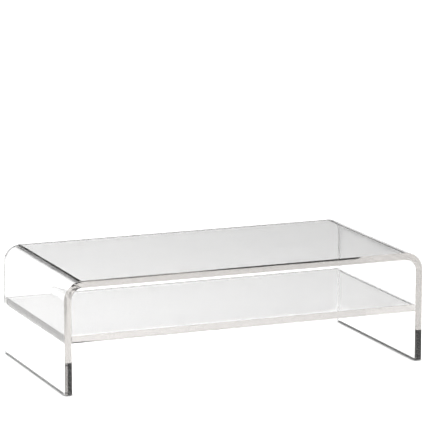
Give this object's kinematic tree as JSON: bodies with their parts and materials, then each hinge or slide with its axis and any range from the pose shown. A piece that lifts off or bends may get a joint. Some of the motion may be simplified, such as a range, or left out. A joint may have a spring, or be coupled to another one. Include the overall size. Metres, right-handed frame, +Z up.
{
  "type": "monitor riser stand",
  "caption": "Clear acrylic monitor riser: a sheet bent down at both ends, with a flat shelf between its legs.",
  "frame": {"origin": "on the surface it stands on, below the middle of the stand's box", "axes": "+X along the width, to the right as seen from the front; -Y towards the front, where the user sits; +Z up"},
  "size_m": [0.508, 0.25, 0.15],
  "materials": {
    "clear_acrylic_sheet": "polished",
    "clear_acrylic_shelf": "polished",
    "cured_cement": "gloss",
    "clear_silicone": "satin"
  },
  "bodies": {
    "root": {"riser_sheet": "clear_acrylic_sheet", "shelf_panel": "clear_acrylic_shelf", "weld_bead_left": "cured_cement", "weld_bead_right": "cured_cement", "foot_pad_front_left": "clear_silicone", "foot_pad_front_right": "clear_silicone", "foot_pad_back_left": "clear_silicone", "foot_pad_back_right": "clear_silicone"}
  },
  "joints": []
}
